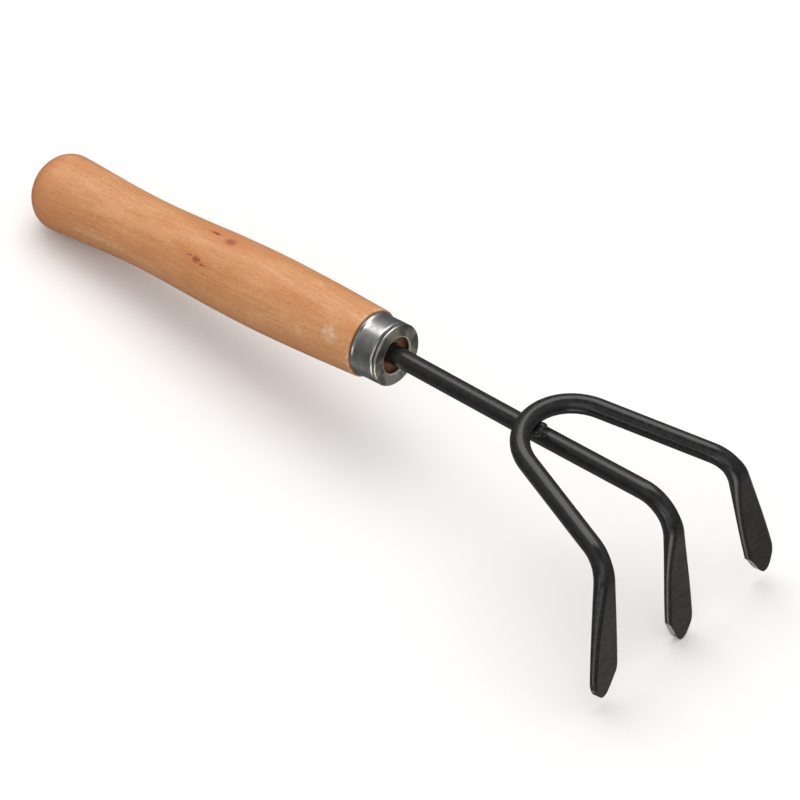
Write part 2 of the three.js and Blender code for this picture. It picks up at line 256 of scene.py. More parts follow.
def fan_faces(base, sides, middle):
    """Triangles that close the ring starting at vertex base with the vertex middle."""
    return [(base + j, base + (j + 1) % sides, middle) for j in range(sides)]


def lathe(name, profile, centre_line=None):
    """Turns (x, radius) pairs about the tool's x axis. A radius of 0 at an end closes it with a fan.
    centre_line gives the height of a ring's centre above the axis, for a hole bored askew."""
    lifts = [centre_line(index, x) if centre_line else 0.0 for index, (x, _) in enumerate(profile)]
    rings = [(x, radius, lift) for (x, radius), lift in zip(profile, lifts) if radius > 0]
    points = []
    for x, radius, lift in rings:
        for angle in np.linspace(0, 2 * math.pi, LATHE_SIDES, endpoint=False):
            points.append((x, -radius * math.sin(angle), radius * math.cos(angle) + lift))
    closed = profile[0][1] > 0 and profile[-1][1] > 0
    faces = ring_faces(len(rings), LATHE_SIDES, closed)
    for end, base in ((0, 0), (-1, (len(rings) - 1) * LATHE_SIDES)):
        x, radius = profile[end]
        if radius == 0:
            faces += fan_faces(base, LATHE_SIDES, len(points))
            points.append((x, 0.0, lifts[end]))
    return mesh_object(name, points, faces)


def arc(centre, radius, start, end, steps):
    """Points (x, radius) on an arc; angles in degrees from the +x direction."""
    turn = np.radians(np.linspace(start, end, steps + 1))
    return [(centre[0] + radius * math.cos(t), centre[1] + radius * math.sin(t)) for t in turn]


def sharpen(piece, angle):
    """Shades the edges steeper than the angle as hard edges."""
    piece.data.set_sharp_from_angle(angle=math.radians(angle))


def apply_modifiers(piece):
    """Replaces the mesh by the one its modifiers make."""
    bpy.context.view_layer.update()
    graph = bpy.context.evaluated_depsgraph_get()
    made = bpy.data.meshes.new_from_object(piece.evaluated_get(graph))
    piece.modifiers.clear()
    piece.data = made


def settle(piece, node):
    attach(piece, "root")
    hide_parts(node)


# ------------------------------------------------------------------ shader graph helper

class Graph:
    """Fills a node tree with short calls. A value is a socket, a number or a tuple."""

    def __init__(self, owner):
        """owner is a new material, or the world."""
        owner.use_nodes = True
        self.owner = owner
        self.tree = owner.node_tree
        self.tree.nodes.clear()

    def node(self, kind, inputs=None, **settings):
        made = self.tree.nodes.new(kind)
        for key, value in settings.items():
            setattr(made, key, value)
        for key, value in (inputs or {}).items():
            self.feed(made.inputs[key], value)
        return made

    def feed(self, socket, value):
        if isinstance(value, bpy.types.NodeSocket):
            self.tree.links.new(value, socket)
        elif isinstance(value, tuple) and socket.type == "RGBA":
            socket.default_value = (*value, 1.0)
        else:
            socket.default_value = value

    def attribute(self, name, output):
        return self.node("ShaderNodeAttribute", attribute_name=name).outputs[output]

    def place(self):
        """The point's place in the tool's frame, in millimetres."""
        return self.attribute("tool", "Vector")

    def components(self, vector):
        return self.node("ShaderNodeSeparateXYZ", {"Vector": vector}).outputs

    def scaled(self, vector, scale, shift=(0, 0, 0), turn=(0, 0, 0)):
        turned = tuple(math.radians(t) for t in turn)
        inputs = {"Vector": vector, "Location": shift, "Rotation": turned, "Scale": scale}
        return self.node("ShaderNodeMapping", inputs).outputs["Vector"]

    def noise(self, vector, scale=1.0, detail=3.0, roughness=0.5, distortion=0.0, output="Fac"):
        inputs = {
            "Vector": vector, "Scale": scale, "Detail": detail,
            "Roughness": roughness, "Distortion": distortion,
        }
        return self.node("ShaderNodeTexNoise", inputs).outputs[output]

    def rings(self, vector, scale, distortion, detail_scale=1.0):
        """Growth rings round the x axis."""
        inputs = {
            "Vector": vector, "Scale": scale, "Distortion": distortion,
            "Detail": 3.0, "Detail Scale": detail_scale,
        }
        settings = {"wave_type": "RINGS", "rings_direction": "X"}
        return self.node("ShaderNodeTexWave", inputs, **settings).outputs["Fac"]

    def math(self, operation, a, b=0.0):
        made = self.node("ShaderNodeMath", operation=operation)
        self.feed(made.inputs[0], a)
        self.feed(made.inputs[1], b)
        return made.outputs[0]

    def times(self, a, b):
        return self.math("MULTIPLY", a, b)

    def plus(self, a, b):
        return self.math("ADD", a, b)

    def minus(self, a, b):
        return self.math("SUBTRACT", a, b)

    def larger(self, a, b):
        return self.math("MAXIMUM", a, b)

    def vector_math(self, operation, output, *values):
        made = self.node("ShaderNodeVectorMath", operation=operation)
        for socket, value in zip(made.inputs, values):
            self.feed(socket, value)
        return made.outputs[output]

    def length(self, vector):
        return self.vector_math("LENGTH", "Value", vector)

    def dot(self, a, b):
        return self.vector_math("DOT_PRODUCT", "Value", a, b)

    def smooth(self, value, low, high, to_low=0.0, to_high=1.0):
        """Goes smoothly from to_low to to_high as the value goes from low to high."""
        inputs = {
            "Value": value, "From Min": low, "From Max": high, "To Min": to_low, "To Max": to_high,
        }
        made = self.node("ShaderNodeMapRange", inputs, interpolation_type="SMOOTHSTEP")
        return made.outputs["Result"]

    def band(self, value, centre, outer, inner):
        """1 where the value is within inner of the centre, 0 beyond outer."""
        return self.smooth(self.math("ABSOLUTE", self.minus(value, centre)), outer, inner)

    def mix(self, factor, a, b, blend="MIX"):
        made = self.node("ShaderNodeMix", data_type="RGBA", blend_type=blend)
        self.feed(made.inputs["Factor"], factor)
        colours = [s for s in made.inputs if s.type == "RGBA"]
        self.feed(colours[0], a)
        self.feed(colours[1], b)
        return next(s for s in made.outputs if s.type == "RGBA")

    def shaded(self, colour, shade):
        """The colour made lighter or darker by a factor near 1."""
        grey = self.node("ShaderNodeCombineColor", {"Red": shade, "Green": shade, "Blue": shade})
        return self.mix(1.0, colour, grey.outputs[0], "MULTIPLY")

    def bump(self, height, depth, strength):
        """Normal for a surface whose height runs over a depth in millimetres."""
        inputs = {"Height": height, "Strength": strength, "Distance": depth * MM}
        return self.node("ShaderNodeBump", inputs).outputs["Normal"]

    def surface(self, **inputs):
        shader = self.node("ShaderNodeBsdfPrincipled", {k.replace("_", " "): v for k, v in inputs.items()})
        self.node("ShaderNodeOutputMaterial", {"Surface": shader.outputs[0]})
        return self.owner


def material_graph(name):
    return Graph(bpy.data.materials.new(name))


# ------------------------------------------------------------------ lacquered wood

WOOD_PALE = (0.745, 0.385, 0.183)
WOOD_WARM = (0.635, 0.272, 0.104)
# painted shade for the handle's underside and the butt's flanks
WOOD_PAINTED_SHADE = (0.55, 0.205, 0.068)
WOOD_FLECK = (0.36, 0.13, 0.045)
WOOD_KNOT = (0.26, 0.065, 0.035)
WOOD_HALO = (0.62, 0.20, 0.085)
WOOD_SCUFF = (0.80, 0.62, 0.46)
WOOD_CHIP = (0.80, 0.62, 0.45)
# end grain of the tenon, darkened with painted shade for its place deep in the ferrule's hole
TENON_END_GRAIN_AND_PAINTED_SHADE = (0.17, 0.08, 0.038)
BUTT_EARLY_WOOD = (0.46, 0.165, 0.056)
BUTT_LATE_WOOD = (0.60, 0.24, 0.085)
BUTT_PORE = (0.27, 0.085, 0.03)

# Knots: distance behind the ferrule's face, angle from the top towards -y, length and width (mm),
# and how strongly they show
KNOTS = (
    {"behind": 71.7, "angle": -2, "length": 3.0, "width": 2.1, "strength": 0.7},
    {"behind": 79.1, "angle": -7, "length": 2.6, "width": 0.7, "strength": 1.0},
    {"behind": 78.8, "angle": 47, "length": 1.9, "width": 1.5, "strength": 0.75},
    {"behind": 81.8, "angle": 45, "length": 2.0, "width": 0.35, "strength": 0.8},
    {"behind": 75.6, "angle": 51, "length": 2.2, "width": 0.4, "strength": 0.9},
    {"behind": 77.2, "angle": 45.5, "length": 0.5, "width": 0.45, "strength": 1.0},
    {"behind": 122.0, "angle": 205, "length": 3.0, "width": 2.0, "strength": 0.7},
)
# A knot's reddish halo is longer and wider than the knot by these factors
HALO_LENGTH = 4.0
HALO_WIDTH = 2.4
# Rubbed, whitish places on the lacquer, given the same way
SCUFFS = (
    {"behind": 19.5, "angle": 59, "length": 3.8, "width": 3.8, "strength": 0.9},
    {"behind": 31.6, "angle": 75, "length": 2.0, "width": 2.0, "strength": 0.5},
    {"behind": 34.2, "angle": -8, "length": 3.0, "width": 2.2, "strength": 0.35},
    {"behind": 120.0, "angle": 92, "length": 26.0, "width": 1.5, "strength": 0.4},
    {"behind": 60.0, "angle": 190, "length": 6.0, "width": 3.0, "strength": 0.4},
)


def spots(g, place, specs, longer=1.0, wider=1.0):
    """Mask of a set of marks on the handle: a mark's strength at its centre, 0 outside them all."""
    distances, radii = zip(*HANDLE_WAVE)
    total = 0.0
    for spec in specs:
        radius = float(np.interp(spec["behind"], distances, radii))
        angle = math.radians(spec["angle"])
        centre = (-spec["behind"], -radius * math.sin(angle), radius * math.cos(angle))
        width = wider * spec["width"]
        size = (1 / (longer * spec["length"]), 1 / width, 1 / width)
        shift = tuple(-c * s for c, s in zip(centre, size))
        inside = g.smooth(g.length(g.scaled(place, size, shift)), 1.15, 0.25)
        total = g.larger(total, g.times(inside, spec["strength"]))
    return total


def wood_grain(g, place, fibre, fine):
    """Colour of clear wood: broad tones, growth rings, fibres and a fine mottle."""
    broad = g.noise(g.scaled(place, (0.014, 0.06, 0.06)), roughness=0.55, distortion=0.4)
    cloud = g.noise(g.scaled(place, (0.07, 0.16, 0.16), (7, 3, 1)), detail=2.0)
    ring_place = g.scaled(place, (0.012, 0.16, 0.16), (0, 6.3, -9.1), (0, 2.2, 1.4))
    rings = g.rings(ring_place, scale=1.6, distortion=3.2, detail_scale=1.4)
    tone = g.plus(g.times(broad, 0.55), g.times(cloud, 0.35))
    tone = g.plus(tone, g.times(rings, 0.08))
    tone = g.plus(tone, g.times(g.minus(fibre, 0.5), 0.2))
    colour = g.mix(g.smooth(tone, 0.3, 0.7), WOOD_WARM, WOOD_PALE)
    streaks = g.smooth(fibre, 0.32, 0.62, 0.95, 1.03)
    lines = g.smooth(fine, 0.3, 0.7, 0.91, 1.07)
    mottle = g.smooth(g.noise(place, 2.0, roughness=0.7), 0.3, 0.7, 0.93, 1.05)
    return g.shaded(colour, g.times(g.times(streaks, lines), mottle))


def wood_painted_shade(g, place):
    """Mask of painted shade on the underside and on the butt's flanks."""
    parts = g.components(place)
    underside = g.smooth(parts["Z"], 1.0, -10.0, 0.0, 0.45)
    rear = g.smooth(parts["X"], -118.0, -143.0, 0.0, 0.5)
    flank = g.smooth(parts["Z"], 13.5, 7.0)
    return g.larger(underside, g.times(rear, flank))


def wood_ends(g, place, colour):
    """Adds raw chips along the shoulder's edge, end grain darkened with painted shade on the tenon, and end
    grain round the butt.
    """
    along = g.components(place)["X"]
    chips = g.smooth(g.noise(g.scaled(place, (0.5, 0.6, 0.6)), detail=5.0, roughness=0.8), 0.49, 0.6)
    chips = g.times(chips, g.smooth(along, -HANDLE_SHOULDER - 1.2, -HANDLE_SHOULDER - 0.5))
    colour = g.mix(g.times(chips, 0.7), colour, WOOD_CHIP)
    # the tenon's end grain, made darker with painted shade
    tenon = g.smooth(along, -HANDLE_SHOULDER - 0.2, -HANDLE_SHOULDER + 0.2)
    colour = g.mix(g.times(tenon, 0.9), colour, TENON_END_GRAIN_AND_PAINTED_SHADE)

    butt = g.smooth(along, -142.0, -155.0)
    year_rings = g.rings(g.scaled(place, (0.05, 1.0, 1.0), (0, -21, 14)), scale=0.22, distortion=2.2)
    pores = g.smooth(g.noise(place, 3.2, detail=2.0, roughness=0.6), 0.56, 0.68)
    end_grain = g.mix(year_rings, BUTT_EARLY_WOOD, BUTT_LATE_WOOD)
    end_grain = g.mix(g.times(pores, 0.45), end_grain, BUTT_PORE)
    return g.mix(g.times(butt, 0.75), colour, end_grain)


def lacquered_wood():
    g = material_graph("lacquered_wood")
    place = g.place()
    fibre = g.noise(g.scaled(place, (0.10, 2.1, 2.1)), detail=4.0, roughness=0.6)
    fine = g.noise(g.scaled(place, (0.45, 4.2, 4.2)), roughness=0.65)
    fleck_noise = g.noise(g.scaled(place, (0.8, 4.4, 4.4), (3, 9, 4)), detail=1.0, roughness=0.4)
    flecks = g.smooth(fleck_noise, 0.61, 0.72)
    colour = wood_grain(g, place, fibre, fine)
    colour = g.mix(g.times(flecks, 0.5), colour, WOOD_FLECK)

    # the marks have ragged outlines, because their places are shaken a little
    shake = g.scaled(g.noise(place, 0.9, output="Color"), (1.6, 1.2, 1.2), (-0.8, -0.6, -0.6))
    shaken = g.vector_math("ADD", "Vector", place, shake)
    halo = spots(g, shaken, KNOTS, HALO_LENGTH, HALO_WIDTH)
    colour = g.mix(g.times(halo, 0.6), colour, WOOD_HALO)
    colour = g.mix(spots(g, shaken, KNOTS), colour, WOOD_KNOT)
    # painted shade: the underside and the butt's flanks are darkened in the colour
    colour = g.mix(wood_painted_shade(g, place), colour, WOOD_PAINTED_SHADE)
    worn_through = g.smooth(g.noise(place, 0.9, detail=5.0, roughness=0.7), 0.35, 0.62)
    rubbed = g.times(spots(g, shaken, SCUFFS), worn_through)
    colour = g.mix(g.times(rubbed, 0.75), colour, WOOD_SCUFF)
    colour = wood_ends(g, place, colour)

    rough = g.smooth(g.noise(place, 0.25, detail=4.0, roughness=0.6), 0.3, 0.7, 0.34, 0.46)
    rough = g.plus(rough, g.times(rubbed, 0.25))
    height = g.plus(g.times(fibre, 0.7), g.times(fine, 0.3))
    height = g.minus(height, g.times(flecks, 0.35))
    return g.surface(
        Base_Color=colour, Roughness=rough, Normal=g.bump(height, 0.05, 0.6), Specular_IOR_Level=0.3,
        Coat_Weight=0.16, Coat_Roughness=0.22,
    )


# ------------------------------------------------------------------ metals and paint

STEEL_DULL = (0.41, 0.41, 0.405)
STEEL_BRIGHT = (0.64, 0.635, 0.62)
STEEL_FACE_STAINED = (0.26, 0.25, 0.215)
STEEL_FACE_RUBBED = (0.82, 0.78, 0.66)
STEEL_SPECK = (0.20, 0.19, 0.18)
STEEL_RAW_EDGE = (0.74, 0.71, 0.64)
# dirt and painted shade for the ferrule's groove
GROOVE_DIRT_AND_PAINTED_SHADE = (0.035, 0.032, 0.03)


def plated_steel():
    g = material_graph("plated_steel")
    place = g.place()
    along = g.components(place)["X"]
    radius = g.length(g.scaled(place, (0.0, 1.0, 1.0)))
    drawn = g.noise(g.scaled(place, (0.22, 2.4, 2.4)), detail=4.0, roughness=0.7)
    round_the_axis = g.node("ShaderNodeCombineXYZ", {"X": radius, "Y": along}).outputs[0]
    turned = g.noise(round_the_axis, 5.0, detail=2.0, roughness=0.6)
    smudge = g.noise(g.scaled(place, (0.5, 0.35, 0.35)), detail=5.0, roughness=0.65)
    stains = g.noise(g.scaled(place, (0.0, 0.16, 0.16), (0, 4, 7)), detail=2.0)
    specks = g.smooth(g.noise(place, 2.6, roughness=0.7), 0.62, 0.72)
    face = g.smooth(along, -0.6, -0.3)
    # the groove is darkened with dirt and painted shade
    groove = g.band(along, -FERRULE_GROOVE_BEHIND, 0.42, 0.12)
    # the cut edge of the hole is raw and matt
    raw = g.band(radius, FERRULE_HOLE_RADIUS + 0.08, 0.34, 0.16)
    raw = g.times(raw, g.smooth(along, -1.2, -0.8))

    colour = g.mix(g.smooth(smudge, 0.3, 0.7), STEEL_DULL, STEEL_BRIGHT)
    face_colour = g.mix(g.smooth(stains, 0.36, 0.62), STEEL_FACE_STAINED, STEEL_FACE_RUBBED)
    colour = g.mix(face, colour, face_colour)
    colour = g.mix(g.times(specks, 0.35), colour, STEEL_SPECK)
    colour = g.mix(g.times(groove, 0.9), colour, GROOVE_DIRT_AND_PAINTED_SHADE)
    colour = g.mix(raw, colour, STEEL_RAW_EDGE)

    rough = g.smooth(smudge, 0.3, 0.7, 0.33, 0.22)
    rough = g.plus(rough, g.times(face, 0.08))
    rough = g.plus(rough, g.times(raw, 0.2))
    height = g.plus(g.times(drawn, 0.6), g.times(smudge, 0.6))
    height = g.plus(height, g.times(g.times(turned, face), 1.6))
    metallic = g.minus(1.0, g.times(raw, 0.7))
    normal = g.bump(height, 0.03, 0.5)
    return g.surface(Base_Color=colour, Metallic=metallic, Roughness=rough, Normal=normal)


PAINT_DEEP = (0.0125, 0.0115, 0.0118)
PAINT_THIN = (0.019, 0.0175, 0.0178)
PAINT_DUST = (0.12, 0.115, 0.11)
PAINT_NICK = (0.09, 0.085, 0.08)
# The painted flats, which were ground before painting, with painted shade towards the +y side and painted
# light towards the -y side of the fork
GROUND_DARK = (0.025, 0.0235, 0.021)
GROUND_LIGHT = (0.052, 0.0485, 0.043)
GROUND_PAINTED_SHADE_FAR_SIDE = (0.012, 0.011, 0.010)
GROUND_PAINTED_LIGHT_NEAR_SIDE = (0.066, 0.062, 0.053)
GRINDING_ANGLE = 38


def black_paint():
    g = material_graph("black_paint")
    place = g.place()
    across = g.components(place)["Y"]
    flat = g.attribute("flatness", "Fac")
    peel = g.noise(place, 0.55)
    grit = g.noise(place, 3.0, roughness=0.6)
    dust = g.smooth(g.noise(place, 1.7, detail=5.0, roughness=0.8), 0.66, 0.76)
    nicks = g.smooth(g.noise(g.scaled(place, (0.7, 1.0, 1.0), (5, 2, 8)), detail=2.0), 0.72, 0.78)
    marks_place = g.scaled(place, (0.2, 0.22, 1.5), turn=(GRINDING_ANGLE, 0, 0))
    marks = g.noise(marks_place, detail=4.0, roughness=0.7)

    colour = g.mix(g.smooth(peel, 0.35, 0.7), PAINT_DEEP, PAINT_THIN)
    ground = g.mix(g.smooth(marks, 0.40, 0.60), GROUND_DARK, GROUND_LIGHT)
    # painted shade on the +y flats and painted light on the -y flats
    ground = g.mix(g.smooth(across, 10.0, 45.0, 0.0, 0.45), ground, GROUND_PAINTED_SHADE_FAR_SIDE)
    ground = g.mix(g.smooth(across, -15.0, -45.0, 0.0, 0.35), ground, GROUND_PAINTED_LIGHT_NEAR_SIDE)
    colour = g.mix(flat, colour, ground)
    colour = g.mix(g.times(dust, 0.10), colour, PAINT_DUST)
    colour = g.mix(g.times(nicks, 0.35), colour, PAINT_NICK)

    rough = g.smooth(peel, 0.3, 0.7, 0.215, 0.30)
    rough = g.plus(rough, g.times(flat, 0.14))
    height = g.plus(g.times(peel, 0.8), g.times(grit, 0.02))
    height = g.plus(height, g.times(g.times(marks, flat), 0.35))
    height = g.minus(height, g.times(nicks, 0.8))
    normal = g.bump(height, 0.07, 0.5)
    return g.surface(Base_Color=colour, Roughness=rough, Normal=normal, Specular_IOR_Level=0.65)


SHEAR_DARK = (0.55, 0.53, 0.49)
SHEAR_LIGHT = (0.82, 0.80, 0.75)
SHEAR_PAINTED = (0.03, 0.029, 0.027)


def sheared_steel(name, painted):
    """The cut faces of a point. painted is the noise level under which black paint still covers them."""
    g = material_graph(name)
    place = g.place()
    tear = g.noise(g.scaled(place, (0.5, 3.0, 3.0)), detail=4.0, roughness=0.7)
    bare = g.smooth(g.noise(place, 0.5, roughness=0.6), painted, painted + 0.06)
    steel = g.mix(g.smooth(tear, 0.3, 0.7), SHEAR_DARK, SHEAR_LIGHT)
    colour = g.mix(bare, SHEAR_PAINTED, steel)
    shine = g.times(bare, 0.35)
    return g.surface(Base_Color=colour, Metallic=shine, Roughness=0.4, Normal=g.bump(tear, 0.08, 0.6))


# ------------------------------------------------------------------ handle

def smoothed(points, steps):
    """Catmull-Rom curve through (x, radius) points."""
    p = np.array(points)
    padded = np.vstack([2 * p[0] - p[1], p, 2 * p[-1] - p[-2]])
    curve = []
    for i in range(1, len(padded) - 2):
        a, b, c, d = padded[i - 1: i + 3]
        for t in np.linspace(0, 1, steps, endpoint=False):
            squared = (2 * a - 5 * b + 4 * c - d) * t ** 2
            cubed = (3 * b - a - 3 * c + d) * t ** 3
            curve.append(0.5 * (2 * b + (c - a) * t + squared + cubed))
    curve.append(p[-1])
    return [tuple(point) for point in curve]


def bore_profile():
    """The blind bore, from its closed end to the tenon's end."""
    end = -TANG_LENGTH - BORE_PAST_TANG
    mouth = -TENON_RECESS
    profile = [(end, 0.0), (end, BORE_RADIUS * BORE_END_SHARE)]
    straight = np.linspace(end + BORE_END_TAPER, mouth - BORE_MOUTH_DEPTH, 14)
    profile += [(x, BORE_RADIUS) for x in straight]
    return profile + [(mouth, BORE_RADIUS + BORE_MOUTH_WIDTH)]


def handle_profile():
    """The outside, from the tenon's end over the shoulder to the middle of the butt."""
    tenon_end = -TENON_RECESS
    tenon_flat = TENON_RADIUS - TENON_EDGE
    end_rings = np.linspace(BORE_RADIUS + BORE_MOUTH_WIDTH, tenon_flat, 6)[1:-1]
    profile = [(tenon_end, r) for r in end_rings]
    profile += arc((tenon_end - TENON_EDGE, tenon_flat), TENON_EDGE, 0, 90, 4)
    wave = [(-behind, radius) for behind, radius in HANDLE_WAVE]
    edge = wave[0][1] - HANDLE_EDGE
    profile += [(-HANDLE_SHOULDER, TENON_RADIUS), (-HANDLE_SHOULDER, edge - 1.0), (-HANDLE_SHOULDER, edge)]
    profile += arc((-HANDLE_SHOULDER - HANDLE_EDGE, edge), HANDLE_EDGE, 20, 70, 4)
    profile += smoothed(wave, HANDLE_STEPS)
    butt_x, butt_radius = wave[-1]
    for turn in np.radians(np.linspace(3, 87, DOME_RINGS)):
        profile.append((butt_x - BUTT_DOME_LENGTH * math.sin(turn), butt_radius * math.cos(turn)))
    return profile + [(butt_x - BUTT_DOME_LENGTH, 0.0)]


def build_handle():
    """The bore follows the shank, and its mouth is centred on the handle's axis."""
    bore = bore_profile()
    mouth = len(bore) - 1

    def shank_line(index, x):
        return -x * math.tan(math.radians(SHANK_DROOP)) if index < mouth else 0.0

    handle = lathe("handle", bore + handle_profile(), shank_line)
    handle.data.materials.append(lacquered_wood())
    sharpen(handle, 50)
    settle(handle, "wooden_handle")


# ------------------------------------------------------------------ ferrule

def ferrule_profile():
    """Section of the cup, from the rear edge over the skirt, bead and face, and back inside."""
    back = -FERRULE_LENGTH
    inside = FERRULE_RADIUS - FERRULE_SHEET
    lip = FERRULE_LIP
    shoulder = FERRULE_SHOULDER_RADIUS
    groove = -FERRULE_GROOVE_BEHIND
    shoulder_x = groove - FERRULE_GROOVE_HALF_WIDTH - shoulder
    bead = FERRULE_BEAD_RADIUS
    bead_centre = FERRULE_BEAD_TOP - bead
    face_edge = bead_centre - FERRULE_DISH_EASE
    hole = FERRULE_HOLE_RADIUS
    edge = FERRULE_HOLE_EDGE

    profile = [(back, inside), (back, inside + lip)]
    profile += arc((back + lip, FERRULE_RADIUS), lip, 180, 60, 7)
    profile += [(back + 3 * lip, FERRULE_RADIUS + 0.02)]
    skirt_end = shoulder_x - FERRULE_SKIRT_END
    profile += [(x, FERRULE_RADIUS) for x in np.linspace(back + FERRULE_FLARE, skirt_end, 6)]
    profile += arc((shoulder_x, FERRULE_RADIUS - shoulder), shoulder, 86, 6, 12)
    for side in (-1, 1):
        profile.append((groove + side * FERRULE_FLOOR_HALF_WIDTH, FERRULE_GROOVE_FLOOR))
    profile += arc((-bead, bead_centre), bead, 165, 0, 16)
    profile += [(-0.4 * FERRULE_DISH, bead_centre - FERRULE_DISH_EASE / 3)]
    profile += [(-FERRULE_DISH, r) for r in np.linspace(face_edge, hole + 2 * edge, 5)]
    profile += arc((-FERRULE_DISH - edge, hole + edge), edge, 0, -90, 8)
    profile += [(-FERRULE_SHEET, hole), (-FERRULE_SHEET, bead_centre - 0.6)]
    profile += [(-3 * bead, FERRULE_NECK - FERRULE_SHEET), (-4 * bead, inside)]
    return profile


def build_ferrule():
    ferrule = lathe("ferrule_cup", ferrule_profile())
    ferrule.data.materials.append(plated_steel())
    sharpen(ferrule, 55)
    settle(ferrule, "ferrule")


# ------------------------------------------------------------------ rods

def station(point, along):
    """A place on a rod's centreline, with the share of thinning and widening there."""
    return {"point": point, "along": unit(along), "thinning": 0.0, "widening": 0.0}


def stations_of_line(start, end, step):
    run = end - start
    count = max(1, round(np.linalg.norm(run) / step))
    return [station(start + run * t, run) for t in np.linspace(0, 1, count + 1)]


def stations_of_bend(corner, before, after, radius):
    turn = math.acos(float(np.clip(before @ after, -1, 1)))
    start = corner - before * radius * math.tan(turn / 2)
    axis = unit(np.cross(before, after))
    centre = start + np.cross(axis, before) * radius
    steps = math.ceil(math.degrees(turn) / BEND_STEP)
    made = []
    for swept in np.linspace(0, turn, steps + 1):
        point = centre + turned_about(start - centre, axis, swept)
        made.append(station(point, turned_about(before, axis, swept)))
    return made


def stations_of_tine(bend_end, nose):
    """Straight stations to just past the nose, where the point is cut."""
    along = unit(nose - bend_end)
    return stations_of_line(bend_end, nose + along * PAST_THE_NOSE, TINE_STEP)[1:]


def press_blade(stations, straight, thinning_length=BLADE_THINNING_LENGTH):
    """Marks how far each station has been thinned and widened. straight is the tine's length."""
    left = -PAST_THE_NOSE
    following = stations[-1]
    for item in reversed(stations):
        left += np.linalg.norm(following["point"] - item["point"])
        following = item
        pressed = max(0.0, straight + BLADE_RUN_IN - left)
        thinned = min(1.0, pressed / thinning_length)
        round_share = max(0.0, 1 - pressed / BLADE_WIDENING_LENGTH)
        item["thinning"] = math.sin(thinned * math.pi / 2)
        item["widening"] = 1 - round_share ** BLADE_WIDENING_POWER


def add_frames(stations, across):
    """Gives each station its two cross directions, carried back from the tip."""
    for item in reversed(stations):
        across = unit(across - item["along"] * (across @ item["along"]))
        item["across"] = across
        item["through"] = np.cross(across, item["along"])


def section(item):
    """Cross-section of a rod pressed between two flats, as (across, through) pairs."""
    angles = np.linspace(0, 2 * math.pi, ROD_SIDES, endpoint=False)
    half_width = ROD_RADIUS + (BLADE_HALF_WIDTH - ROD_RADIUS) * item["widening"]
    bulge = ROD_RADIUS + (BLADE_BULGE - ROD_RADIUS) * item["thinning"]
    half_thickness = ROD_RADIUS + (BLADE_HALF_THICKNESS - ROD_RADIUS) * item["thinning"]
    across = half_width * np.cos(angles)
    through = np.clip(bulge * np.sin(angles), -half_thickness, half_thickness)
    return across, through


def rod_object(name, stations):
    """Skin over the stations, with flat ends."""
    points = []
    flatness = []
    for item in stations:
        across, through = section(item)
        points.extend(item["point"] + np.outer(across, item["across"]) + np.outer(through, item["through"]))
        on_flat = np.abs(through) > np.abs(through).max() - 1e-6
        flatness.extend(on_flat * min(1.0, item["thinning"] * 2))
    faces = ring_faces(len(stations), ROD_SIDES)
    for base, end in ((0, stations[0]), ((len(stations) - 1) * ROD_SIDES, stations[-1])):
        faces += fan_faces(base, ROD_SIDES, len(points))
        points.append(end["point"])
        flatness.append(flatness[base])
    return mesh_object(name, points, faces, flatness)


def cubic(a, b, c, d, steps):
    """Bezier curve from a to d, with the handles b and c."""
    a, b, c, d = [np.array(point) for point in (a, b, c, d)]
    made = []
    for t in np.linspace(0, 1, steps + 1):
        u = 1 - t
        made.append(tuple(u ** 3 * a + 3 * u * u * t * b + 3 * u * t * t * c + t ** 3 * d))
    return made


def point_outline(shape):
    """Outline of a blade's point as (across, up) pairs, from the near shoulder to the far one."""
    near = cubic(*shape["near"], shape["nose"], POINT_STEPS)
    far = cubic(shape["nose"], *shape["far"], POINT_STEPS)
    return near + far[1:]


def point_die(tip, along, across, shape):
    """What is cut away below a blade's point."""
    reach = BLADE_HALF_WIDTH + DIE_CLEARANCE
    flank = point_outline(shape)
    outline = [(-reach, flank[0][1])] + flank + [(reach, flank[-1][1])]
    outline += [(reach, -DIE_CLEARANCE), (-reach, -DIE_CLEARANCE)]
    through = np.cross(across, -along) * 2 * BLADE_BULGE
    points = []
    for side in (-through, through):
        points += [tip + across * u - along * v + side for u, v in outline]
    count = len(outline)
    faces = [tuple(range(count)), tuple(range(count, 2 * count))] + ring_faces(2, count)
    return mesh_object("die", points, faces, [0.0] * len(points))


def shear_point(piece, die, bare):
    """Cuts the blade to its point with the die; the cut faces get the bare steel."""
    die.data.materials.append(bare)
    cut = piece.modifiers.new("point", "BOOLEAN")
    cut.operation = "DIFFERENCE"
    cut.solver = "EXACT"
    cut.material_mode = "TRANSFER"
    cut.object = die
    apply_modifiers(piece)
    bpy.data.objects.remove(die)


def soften_cut(piece):
    """Takes the keen edge off the sheared points."""
    bevel = piece.modifiers.new("edge", "BEVEL")
    bevel.width = CUT_EDGE * MM
    bevel.segments = 2
    bevel.limit_method = "ANGLE"
    bevel.angle_limit = math.radians(50)
    apply_modifiers(piece)
    store_places(piece.data, to_tool([v.co for v in piece.data.vertices]))
    sharpen(piece, 38)


SHANK = sloping_down(SHANK_DROOP)
SHANK_UP = np.cross(SHANK, ACROSS)
WELD_POINT = SHANK * SHANK_LENGTH


